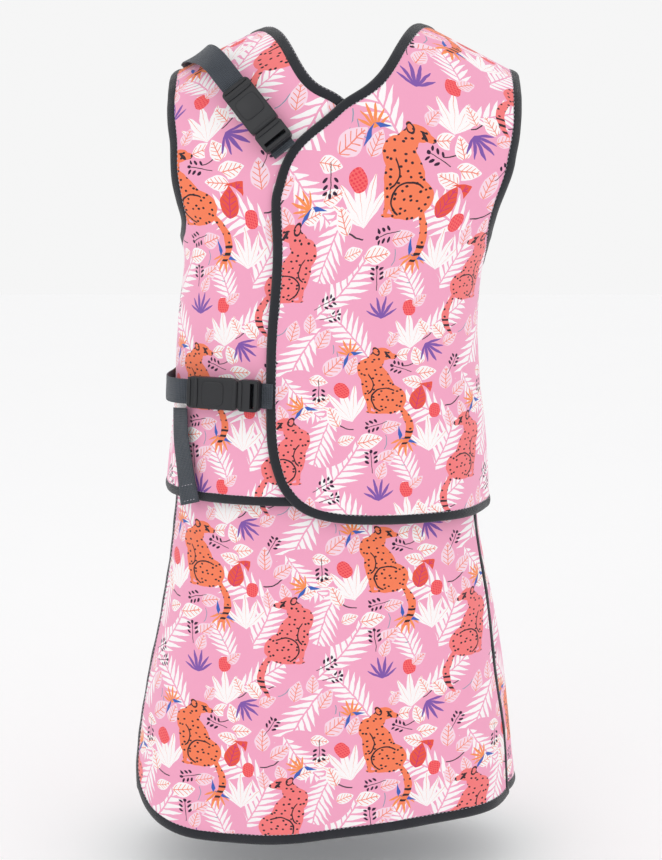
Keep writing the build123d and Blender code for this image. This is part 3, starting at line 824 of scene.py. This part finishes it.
def outer_front(rows, columns):
    """The flap and the side beyond its fold, as one piece of cloth."""
    flap = patch(smooth_line(FLAP_HEM + [FLAP_FOLD[0]], columns),
                 even_line([NECK_LEFT, FLAP_FOLD[-1]], columns),
                 smooth_line(FLAP_EDGE, rows),
                 smooth_line(FLAP_FOLD, rows))
    side = patch(even_line([FLAP_FOLD[0], (LEFT_SIDE, VEST_FRONT_HEM)], columns),
                 even_line([FLAP_FOLD[-1], TIP_LEFT], columns),
                 smooth_line(FLAP_FOLD, rows),
                 side_and_armhole(LEFT_SIDE, VEST_FRONT_HEM, ARMHOLE_LEFT, rows))
    return np.concatenate([flap[:, :-1], side], 1)


def back_half(side, neck, middle, tip, armhole, start, rows, columns):
    inner = even_line([(middle, VEST_BACK_HEM), (middle, neck[0][1])], 24)
    curve = smooth_line([(middle, neck[0][1])] + neck[1:], 60)
    outer = side_and_armhole(side, VEST_BACK_HEM, armhole, rows) * (-1, 1)
    return patch(even_line([(start, VEST_BACK_HEM), (middle, VEST_BACK_HEM)], columns),
                 even_line([mirrored(tip), neck[-1]], columns),
                 outer, even_line(np.concatenate([inner[:-1], curve]), rows))


def skirt_wrap(rows, columns):
    turn = np.linspace(WRAP_START, WRAP_END, columns)
    bottom, top = (np.stack([turn, np.full(columns, h)], -1) for h in (WRAP_HEM, SKIRT_TOP))
    start, end = (even_line([bottom[k], top[k]], rows) for k in (0, -1))
    return patch(bottom, top, start, end)


def skirt_front(rows, columns):
    return patch(smooth_line(SKIRT_HEM + [SKIRT_SEAM[0]], columns),
                 even_line([SKIRT_EDGE[-1], SKIRT_SEAM[-1]], columns),
                 smooth_line(SKIRT_EDGE, rows), smooth_line(SKIRT_SEAM, rows))


# ---- panels ----
PUFF = 0.8                   # how far the middle of a panel swells beyond its bound edge, mm
PUFF_REACH = 9.0             # the distance over which it does so, mm
LAYER_LOOKS = {"lining": (LINING, "lining_fabric"), "core": (CORE, "attenuating_core"),
               "shell": (PRINT, "printed_fabric")}


def body_of(kind):
    return "skirt" if kind == "skirt" else "root"


def cloth_span(points):
    """The greatest width and length of a grid of points, in metres."""
    width = np.linalg.norm(np.diff(points, axis=1), axis=-1).sum(1).max()
    length = np.linalg.norm(np.diff(points, axis=0), axis=-1).sum(0).max()
    return float(width), float(length)


def settle(piece, body, flap=False):
    if flap:
        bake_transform(piece)
    else:
        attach(piece, body)


def edge_distance(points):
    """Millimetres from each grid point to the nearest border of the grid."""
    along = np.linalg.norm(np.diff(points, axis=1), axis=-1).cumsum(1)
    along = np.concatenate([np.zeros((len(points), 1)), along], 1)
    up = np.linalg.norm(np.diff(points, axis=0), axis=-1).cumsum(0)
    up = np.concatenate([np.zeros((1, points.shape[1])), up], 0)
    near = np.minimum(np.minimum(along, along[:, -1:] - along), np.minimum(up, up[-1:] - up))
    return near * 1000


def panel(name, kind, shape, nodes, lift=0.0, flap=False):
    """The shell, core and lining of one panel, each a closed sheet of its own."""
    for layer, (low, high) in LAYERS.items():
        material, slot = LAYER_LOOKS[layer]
        rows, columns = (150, 110) if layer == "shell" else (60, 44)
        grid = shape(rows, columns)
        uv = cloth_uv(kind, grid)
        outer = cloth(kind, grid, np.full(grid.shape[:2], high + lift))
        if layer == "shell":
            near = edge_distance(outer)
            outer = cloth(kind, grid, high + lift + PUFF * (1 - np.exp(-near / PUFF_REACH)))
        inner = cloth(kind, grid, np.full(grid.shape[:2], low + lift))
        piece = closed_sheet(f"{name}_{layer}_cloth", outer, inner, uv)
        piece.data.materials.append(material)
        settle(piece, body_of(kind), flap)
        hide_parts(*[f"{node}_{layer}" for node in nodes])
        width, length = cloth_span(outer)


# ---- bound edges ----
TAPE_WIDTH = 12.8
TAPE_OVERHANG = 1.3          # how far the tape's fold stands out from the panel's edge
TAPE_BELOW = 2.4             # the tape's half thickness on the wearer's side
TAPE_STEP = 3.0              # between two rings of points along the tape
CLOTH_MIDDLE = 2.1           # the height of the middle of a panel's layers
SEAM_INSET = 2.6             # from the tape's inner edge to its stitches
PROFILE_STEPS = 20
PROFILE_POWER = 2.6
STITCH_PITCH = 5.2
STITCH_LENGTH = 2.7
STITCH_RADIUS = 0.34


def offset(kind, line, inward):
    """Places moved to the left of a line by millimetres along the form."""
    point = skirt_point if kind == "skirt" else vest_point
    a, b = line[:, 0], line[:, 1]
    low = np.minimum(b, BEND_END - 3.0)
    per_degree = np.linalg.norm(point(a + 0.5, low) - point(a - 0.5, low), axis=-1)
    per_rise = np.linalg.norm(point(a, low + 0.5) - point(a, low - 0.5), axis=-1)
    ta, tb = np.gradient(a) * per_degree, np.gradient(b) * per_rise
    size = np.hypot(ta, tb)
    top = BEND_END - 1.0 if kind == "vest" else SKIRT_TOP + 2
    moved = b + ta / size * inward / per_rise
    return np.stack([a - tb / size * inward / per_degree, np.minimum(moved, top)], -1)


def line_length(line):
    return np.hypot(np.diff(line[:, 0]) * MM_PER_DEGREE, np.diff(line[:, 1])).sum()


def binding(name, kind, points, lift=0.0, width=TAPE_WIDTH, flap=False, stitched=True):
    """Folded tape round the edge that bears its name, and its line of stitches."""
    count = int(line_length(smooth_line(points, 60)) / TAPE_STEP)
    line = smooth_line(points, count)
    turn = np.arange(PROFILE_STEPS) * 2 * math.pi / PROFILE_STEPS
    across, up = unit_curve(turn, PROFILE_POWER)
    run = np.linspace(0, line_length(line), count)
    swell = 0.22 * np.sin(run / 13 + 1) + 0.16 * np.sin(run / 5.1)
    rings = []
    above = 3.6 if lift else 3.2
    for s, h in zip(across, up):
        inward = width / 2 - TAPE_OVERHANG + s * width / 2 + 0.22 * np.sin(run / 17 + 2)
        height = lift + CLOTH_MIDDLE + (h * (above + swell) if h > 0 else h * TAPE_BELOW)
        rings.append(cloth(kind, offset(kind, line, inward), np.broadcast_to(height, (count,))))
    rings = np.stack(rings, 1)
    uv = np.stack(np.meshgrid(np.linspace(0, 0.03, PROFILE_STEPS), run / 1000), -1).reshape(-1, 2)
    piece = tube(name + "_tape", rings, BINDING, uv)
    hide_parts(name)
    settle(piece, body_of(kind), flap)
    pieces = [piece]
    if stitched:
        seam = offset(kind, line, np.full(count, width - SEAM_INSET))
        path = cloth(kind, seam, np.full(count, lift + CLOTH_MIDDLE + above * 0.80))
        pieces.append(stitches(name + "_stitches", path))
        settle(pieces[-1], body_of(kind), flap)
    return pieces


def tube_faces(count, sides, start=0):
    """The faces of a closed tube through rings of points."""
    faces = []
    for low in range(start, start + (count - 1) * sides, sides):
        for j in range(sides):
            k = (j + 1) % sides
            faces.append((low + j, low + k, low + sides + k, low + sides + j))
    faces.append(tuple(start + j for j in range(sides - 1, -1, -1)))
    faces.append(tuple(start + (count - 1) * sides + j for j in range(sides)))
    return faces


def tube(name, rings, material, uv=None):
    piece = new_mesh(name, rings.reshape(-1, 3), tube_faces(*rings.shape[:2]), uv)
    piece.data.materials.append(material)
    return piece


def stitches(name, path):
    """Short rounded threads at an even pitch along a path in metres."""
    steps = np.linalg.norm(np.diff(path, axis=0), axis=1)
    length = np.concatenate([[0], np.cumsum(steps)]) * 1000
    starts = np.arange(STITCH_PITCH / 2, length[-1] - STITCH_PITCH, STITCH_PITCH)
    vertices, faces = [], []
    sides = 5
    for start in starts:
        ends = [np.array([np.interp(start + s, length, path[:, k]) for k in range(3)])
                for s in (0, STITCH_LENGTH)]
        along = (ends[1] - ends[0]) / max(np.linalg.norm(ends[1] - ends[0]), 1e-9)
        side = np.cross(along, (0.31, 0.57, 0.76))
        side /= np.linalg.norm(side)
        other = np.cross(along, side)
        base = len(vertices)
        for f, radius in ((0, 0.35), (0.2, 1), (0.8, 1), (1, 0.35)):
            spot = ends[0] * (1 - f) + ends[1] * f
            for j in range(sides):
                t = 2 * math.pi * j / sides
                reach = radius * STITCH_RADIUS / 1000
                vertices.append(spot + (side * math.cos(t) + other * math.sin(t)) * reach)
        faces += tube_faces(4, sides, base)
    piece = new_mesh(name, vertices, faces)
    piece.data.materials.append(THREAD)
    return piece


VEST_SIDE_HEM = [FLAP_FOLD[0], (-30, VEST_FRONT_HEM), (LEFT_SIDE, VEST_FRONT_HEM)]
flap_trims = binding("vest_flap_binding", "vest", FLAP_EDGE[::-1] + FLAP_HEM[1:] + VEST_SIDE_HEM,
                     OUTER_LIFT, flap=True)
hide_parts("vest_side_hem_binding")
flap_trims += binding("left_armhole_front_binding", "vest", ARMHOLE_LEFT, OUTER_LIFT)
inner_trims = binding("inner_neck_binding", "vest", INNER_NECK[::-1])
inner_trims += binding("inner_hem_binding", "vest", [(RIGHT_SIDE, VEST_BACK_HEM), INNER_EDGE[0]])
inner_trims += binding("right_armhole_front_binding", "vest", ARMHOLE_RIGHT[::-1])
back_trims = binding("back_neck_binding", "vest", BACK_NECK_RIGHT[:0:-1] + BACK_NECK_LEFT)
back_trims += binding("back_hem_binding", "vest", [(angle, VEST_BACK_HEM) for angle in BACK_SEAMS])
back_trims += binding("left_armhole_back_binding", "vest",
                      [mirrored(place) for place in ARMHOLE_LEFT[::-1]])
back_trims += binding("right_armhole_back_binding", "vest",
                      [mirrored(place) for place in ARMHOLE_RIGHT])
skirt_trims = binding("skirt_flap_binding", "skirt",
                      SKIRT_EDGE[::-1] + SKIRT_HEM[1:] + [SKIRT_SEAM[0]], OUTER_LIFT)
skirt_trims += binding("skirt_seam_binding", "skirt", [on_skirt(203, 110)] + SKIRT_SEAM[1:],
                       OUTER_LIFT, width=7.5, stitched=False)
wrap_trims = binding("skirt_hem_binding", "skirt",
                     [(angle, WRAP_HEM) for angle in np.linspace(WRAP_START, WRAP_END, 31)])

panel("vest_front_inner", "vest", inner_front, ["vest_front_inner"])
panel("vest_front_outer", "vest", outer_front, ["vest_flap", "vest_side"], OUTER_LIFT, True)
for side_name, trims, details in (
        ("left", back_trims,
         (LEFT_SIDE, BACK_NECK_LEFT, 89.99, TIP_LEFT, ARMHOLE_LEFT, BACK_SEAMS[0])),
        ("right", (),
         (RIGHT_SIDE, BACK_NECK_RIGHT, 90.01, TIP_RIGHT, ARMHOLE_RIGHT, BACK_SEAMS[1]))):
    panel(f"vest_back_{side_name}", "vest",
          lambda rows, columns: back_half(*details, rows, columns), ["vest_back"])
panel("skirt_wrap", "skirt", skirt_wrap, ["skirt_wrap"])
panel("skirt_front", "skirt", skirt_front, ["skirt_flap"], OUTER_LIFT)


# ---- bands and patches laid on the form ----
WAISTBAND_WIDTH = 44.0
HOOK_LIFTS = (4.35, 4.62)
LOOP_LIFTS = (4.93, 5.18)


def laid_band(name, kind, angles, heights, lifts, node, body, material):
    grid = np.stack(np.meshgrid(np.linspace(*angles, 60), np.linspace(*heights, 24)), -1)
    low, high = (cloth(kind, grid, np.full(grid.shape[:2], lift)) for lift in lifts)
    near = edge_distance(high)
    high = cloth(kind, grid, lifts[1] - 0.45 * (lifts[1] - lifts[0]) * np.exp(-near / 2.5))
    piece = closed_sheet(name, high, low, cloth_uv(kind, grid))
    piece.data.materials.append(material)
    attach(piece, body)
    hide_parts(node)
    cloth_span(high)


laid_band("skirt_waistband_cloth", "skirt", (2, 178), (SKIRT_TOP - WAISTBAND_WIDTH, SKIRT_TOP),
          (4.6, 6.0), "skirt_waistband", "skirt", BINDING)
vest_closure = (on_vest(-62, 600)[0], on_vest(-22, 600)[0])
skirt_closure = (on_skirt(-120, 560)[0], on_skirt(-20, 560)[0])
for owner, angles, heights, bodies in (
        ("vest", vest_closure, (500, 740), ("root", "vest_flap")),
        ("skirt", skirt_closure, (540, 585), ("skirt", "skirt"))):
    for part, lifts, body in zip(("hook", "loop"), (HOOK_LIFTS, LOOP_LIFTS), bodies):
        laid_band(f"{owner}_{part}", owner, angles, heights, lifts, f"{owner}_{part}_patch", body,
                  PILE)


# ---- shoulder pads ----
def over_shoulder(x, reach, lift):
    angle = angle_of(TORSO, x, CREST, VEST_POWER, reach > 0)
    return metres(lifted(vest_point, angle, BEND_END - max(abs(reach), 1.0), lift))


PAD_REACH = 62.0             # how far a pad hangs down in front and behind
PAD_MIDDLE = -4.1            # the height of its middle from the form


def shoulder_pad(name, start, end):
    rows, columns = 30, 40
    top, under = [], []
    for i in range(rows):
        x = start + (end - start) * i / (rows - 1)
        edge_x = math.sin(math.pi * min(i, rows - 1 - i) / (rows - 1))
        for j in range(columns):
            reach = PAD_REACH * (2 * j / (columns - 1) - 1)
            edge = min(edge_x, math.sin(math.pi * j / (columns - 1)) * 1.4, 1.0)
            full = 0.45 + 0.55 * math.sqrt(max(edge, 0.0))
            top.append(over_shoulder(x, reach, PAD_MIDDLE + 2.7 * full))
            under.append(over_shoulder(x, reach, PAD_MIDDLE - 2.8 * full))
    top, under = (np.array(side).reshape(rows, columns, 3) for side in (top, under))
    uv = np.stack(np.meshgrid(np.linspace(0, 0.12, columns), np.linspace(0, 0.08, rows)), -1)
    piece = closed_sheet(name + "_cushion", top, under, uv.reshape(-1, 2))
    piece.data.materials.append(PAD)
    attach(piece, "root")
    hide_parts(name)


shoulder_pad("right_shoulder_pad", -190, -114)
shoulder_pad("left_shoulder_pad", 116, 200)


# ---- webbing ----
SOCKET_LENGTH = 64.0
WEBBING_WIDTH = 30.0
WEBBING_THICKNESS = 1.8


def surface_spot(place, lift):
    a, b = (np.float64(v) for v in place)
    spot = lifted(vest_point, a, b, np.float64(lift))
    normal = lifted(vest_point, a, b, np.float64(lift + 1)) - spot
    return metres(spot), normal


def unit_vector(normal):
    normal = np.array(normal, float)
    return normal / np.linalg.norm(normal)


def buckle_plane(place, along, lift):
    """Origin, x, y and z axes of a buckle on the vest, in the frame."""
    origin, z_axis = surface_spot(place, lift)
    x_axis = np.array(along, float)
    x_axis -= z_axis * (x_axis @ z_axis)
    x_axis /= np.linalg.norm(x_axis)
    return origin, x_axis, np.cross(z_axis, x_axis), z_axis


def plane_spot(plane, x, z):
    origin, x_axis, _, z_axis = plane
    return origin + (x_axis * x + z_axis * z) / 1000, z_axis


WAIST = buckle_plane(on_vest(-113, BELT_HEIGHT), (1, -0.45, -0.02), 18.0)
SHOULDER = buckle_plane(on_vest(-80, 906), (34, -21, -42), 19.0)


def webbing(name, spots, node, body, wave=0.0, blend_to=None, fold=0.0):
    """Webbing with rounded edges along spots, each a point and the way it faces."""
    points = np.array([p for p, _ in spots])
    faces = np.array([n for _, n in spots])
    steps = np.linalg.norm(np.diff(points, axis=0), axis=1)
    knots = np.concatenate([[0], np.cumsum(steps)])
    count = max(int(knots[-1] * 1000 / 2.0), 12)
    dense = np.stack([smooth_column(points[:, k], knots, count) for k in range(3)], -1)
    facing = np.stack([smooth_column(faces[:, k], knots, count) for k in range(3)], -1)
    along = np.gradient(dense, axis=0)
    along /= np.linalg.norm(along, axis=1, keepdims=True)
    across = np.cross(along, facing)
    across /= np.linalg.norm(across, axis=1, keepdims=True)
    facing = np.cross(across, along)
    run = np.linspace(0, knots[-1], count) * 1000
    half = WEBBING_THICKNESS / 2
    turn = np.arange(28) * 2 * math.pi / 28
    flat, high = unit_curve(turn, 7.0)
    middle = dense + facing * (half / 1000)
    rings = []
    for s, h in zip(flat, high):
        cup = wave * np.sin(run / 21 + 0.7) * (0.5 + s * 0.5) + 0.15 * np.sin(run / 9 + 3 * s)
        thick = half * (1 + fold * np.clip((run - run[-1] + 26) / 2, 0, 1))
        rings.append(middle + across * (s * WEBBING_WIDTH / 2000)
                     + facing * ((h * thick + cup) / 1000)[:, None])
    rings = np.stack(rings, 1)
    uv = np.stack(np.meshgrid((flat + 1) * WEBBING_WIDTH / 2000, run / 1000), -1).reshape(-1, 2)
    piece = tube(name, rings, WEBBING, uv)
    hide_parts(node)
    trims = []
    if blend_to:
        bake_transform(piece)
    else:
        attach(piece, body)
        if fold:
            for back in (3.0, 22.0):
                at = int((run[-1] - back) / run[-1] * (count - 1))
                row = middle[at] + facing[at] * (half * (1 + fold) + 0.1) / 1000
                path = row + across[at] * np.linspace(-1, 1, 5)[:, None] * WEBBING_WIDTH / 2300
                trims.append(stitches(f"{name}_stitches_{int(back)}", path))
                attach(trims[-1], body)


def smooth_column(values, knots, count):
    """Values between knots by a smooth curve."""
    want = np.linspace(0, knots[-1], count)
    slope = np.gradient(values, knots)
    i = np.clip(np.searchsorted(knots, want, side="right") - 1, 0, len(knots) - 2)
    span = knots[i + 1] - knots[i]
    f = (want - knots[i]) / span
    return blend_ends(values[i], values[i + 1], slope[i] * span, slope[i + 1] * span, f)


BELT_LIFT = 6.1
IN_SOCKET = -0.9             # the webbing's height in a buckle's own plane, inside the socket
UNDER_PLUG = -8.2            # and beneath the plug
webbing("belt_back", [surface_spot((a, BELT_HEIGHT), BELT_LIFT) for a in np.linspace(6, 176, 17)],
        "belt_webbing", "root", wave=0.3)
belt_end = [surface_spot((a, BELT_HEIGHT), lift)
            for a, lift in ((177.0, 6.2), (182, 7.4), (189, 10.4))]
belt_end += [plane_spot(WAIST, x - SOCKET_LENGTH, IN_SOCKET) for x in (-6, 2)]
webbing("belt_end", belt_end, "belt_end_webbing", "root",
        blend_to=("waist_socket", tuple(belt_end[0][0]), tuple(belt_end[3][0])))
tail = [surface_spot(on_vest(x, z), lift) for x, z, lift in (
    (-181, 572, 12), (-181, 540, 11.4), (-178, 500, 10.4), (-172, 458, 10.6))]
webbing("belt_tail_webbing", tail, "belt_tail", "belt_tail", wave=0.5, fold=0.9)
strap = [plane_spot(SHOULDER, x - SOCKET_LENGTH, IN_SOCKET) for x in (2, -16, -34)]
strap += [(over_shoulder(x, reach, lift), unit_vector(normal)) for x, reach, lift, normal in (
    (-168, -34, 11.0, (-0.2, -0.6, 0.8)), (-172, 0, 8.0, (-0.35, 0, 0.94)),
    (-172, 40, 8.2, (-0.25, 0.7, 0.7)), (-168, 80, 8.0, (-0.2, 1, 0.3)),
    (-164, 125, 7.9, (-0.15, 1, 0.1)))]
webbing("shoulder_strap_webbing", strap, "shoulder_strap", "root", wave=0.3)
for owner, plane, reach in (("waist", WAIST, 40), ("shoulder", SHOULDER, 34)):
    tab = [plane_spot(plane, x, UNDER_PLUG) for x in np.linspace(8, reach, 4)]
    webbing(f"{owner}_tab_webbing", tab, f"{owner}_tab", "vest_flap")
    for part in ("socket", "plug", "latch_upper", "latch_lower"):
        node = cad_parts[f"{owner}_buckle_{part}"]
        node.data.materials.clear()
        node.data.materials.append(PLASTIC)


# ---- raised details on the buckles ----
def raised(name, plane, body, x, length, width, base, height):
    """A rounded raised bar or plate on a buckle's outer face."""
    origin, x_axis, y_axis, z_axis = plane
    turn = np.arange(40) * 2 * math.pi / 40
    along, across = unit_curve(turn, 5.0)
    rings = []
    for up, reach in ((0, 1.0), (0.55, 1.0), (0.85, 0.97), (1.0, 0.9)):
        shrink = (1 - reach) * min(length, width) / 2
        rings.append(origin + x_axis * ((x + along * (length / 2 - shrink)) / 1000)[:, None]
                     + y_axis * (across * (width / 2 - shrink) / 1000)[:, None]
                     + z_axis * (base + up * height) / 1000)
    piece = tube(name, np.stack(rings), PLASTIC)
    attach(piece, body)


SOCKET_FACE = 5.7
PLUG_FACE = 5.2
for owner, plane in (("waist", WAIST), ("shoulder", SHOULDER)):
    for label, x, length, width, height in (
            ("end_bar", -60.5, 4.0, 33.0, 1.9), ("webbing_bar", -52.0, 4.5, 35.0, 1.9),
            ("body_plate", -31.0, 27.0, 29.0, 1.3), ("mouth_lip", -3.5, 4.5, 34.0, 1.4)):
        raised(f"{owner}_socket_{label}", plane, f"{owner}_socket", x, length, width,
               SOCKET_FACE, height)
    for label, x, length, width, height in (
            ("shoulder_lip", 3.8, 4.0, 33.0, 1.7), ("end_bar", 23.6, 3.2, 33.0, 1.7)):
        raised(f"{owner}_plug_{label}", plane, "vest_flap", x, length, width, PLUG_FACE, height)


# ---- floor, light and camera ----
FLOOR_HALF = 7.0
FLOOR_HEIGHT = -1.0
FLOOR_COLOR = (0.95, 0.95, 0.955)
SKIRT_MIDDLE = (0, 0, -0.47)
WORLD_STRENGTH = 0.92


def pale_surface(name, color):
    n = Nodes(name)
    cloud = n.noise(n.place(), 3.0, 2.0)
    shade = n.mix(cloud, color, tuple(v * 0.985 for v in color))
    return n.finish(shade, n.add(0.85, n.mul(cloud, 0.1)),
                    Emission_Color=(1, 1, 1, 1), Emission_Strength=0.06)


def floor():
    corners = [(x * FLOOR_HALF, y * FLOOR_HALF, FLOOR_HEIGHT)
               for x, y in ((-1, -1), (1, -1), (1, 1), (-1, 1))]
    piece = new_mesh("floor", corners, [(0, 1, 2, 3)], smooth=False)
    piece.data.materials.append(pale_surface("PaleFloor", FLOOR_COLOR))


def area_light(name, place, size, power):
    """A square light aimed at the middle of the skirt."""
    light = bpy.data.lights.new(name, "AREA")
    light.shape = "RECTANGLE"
    light.size = light.size_y = size
    light.energy = power
    lamp = bpy.data.objects.new(name, light)
    lamp.location = place
    aim = Vector(SKIRT_MIDDLE) - Vector(place)
    lamp.rotation_euler = aim.to_track_quat("-Z", "Y").to_euler()
    bpy.context.scene.collection.objects.link(lamp)


floor()
area_light("key", (-1.6, -2.6, 1.3), 1.6, 7)
area_light("fill", (2.2, -2.2, 0.4), 1.8, 2.5)
area_light("top", (0, 0.3, 2.2), 2.2, 2.5)

scene = bpy.context.scene
scene.view_settings.view_transform = "Standard"
world = bpy.data.worlds.new("Studio")
scene.world = world
world.use_nodes = True
background = world.node_tree.nodes["Background"]
background.inputs[0].default_value = (1, 1, 1, 1)
background.inputs[1].default_value = WORLD_STRENGTH

camera_data = bpy.data.cameras.new("camera")
camera_data.lens = 81.2
camera_data.sensor_width = 36.0
camera_data.clip_end = 50.0
camera = bpy.data.objects.new("camera", camera_data)
camera.location = (-0.008, -2.4, -0.036)
CAMERA_TARGET = Vector((-0.008, 0.0, -0.453))
camera.rotation_euler = (CAMERA_TARGET - camera.location).to_track_quat("-Z", "Y").to_euler()
scene.collection.objects.link(camera)
scene.camera = camera
